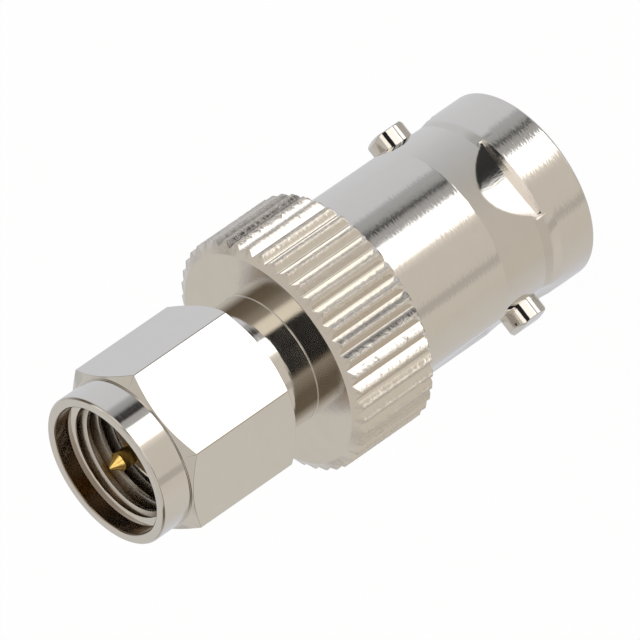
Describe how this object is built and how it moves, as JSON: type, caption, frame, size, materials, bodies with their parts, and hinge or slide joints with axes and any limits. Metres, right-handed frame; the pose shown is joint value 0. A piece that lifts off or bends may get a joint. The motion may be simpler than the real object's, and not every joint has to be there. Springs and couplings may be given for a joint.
{
  "type": "coaxial adapter",
  "caption": "Coaxial adapter with a bayonet jack at one end and a screw plug with a hexagonal coupling nut at the other.",
  "frame": {"origin": "centre of the bayonet jack's mouth, the flat ring on which the adapter stands", "axes": "+Z along the common axis, from the bayonet jack's mouth to the screw plug's mouth; +X through one bayonet lug"},
  "size_m": [0.012, 0.012, 0.0262],
  "materials": {
    "jack_nickel": "bright nickel plate, turned and milled",
    "plug_nickel": "bright nickel plate, turned",
    "nut_nickel": "bright nickel plate over drawn flats",
    "ring_bronze": "spring bronze, bare",
    "white_insulator": "waxy white fluoropolymer",
    "contact_gold": "gold plate"
  },
  "bodies": {
    "adapter": {"jack_body": "jack_nickel", "plug_body": "plug_nickel", "jack_insulator": "white_insulator", "plug_insulator": "white_insulator", "socket_contact": "contact_gold", "plug_pin": "contact_gold"},
    "ring": {"retaining_ring": "ring_bronze"},
    "nut": {"coupling_nut": "nut_nickel"}
  },
  "joints": [
    {"name": "nut_float", "type": "slide", "parent": "adapter", "child": "ring", "axis": [0, 0, 1], "range_m": [0, 0.0003]},
    {"name": "nut_spin", "type": "hinge", "parent": "ring", "child": "nut", "pos_m": [0, 0, 0.01806], "axis": [0, 0, 1], "continuous": true}
  ]
}
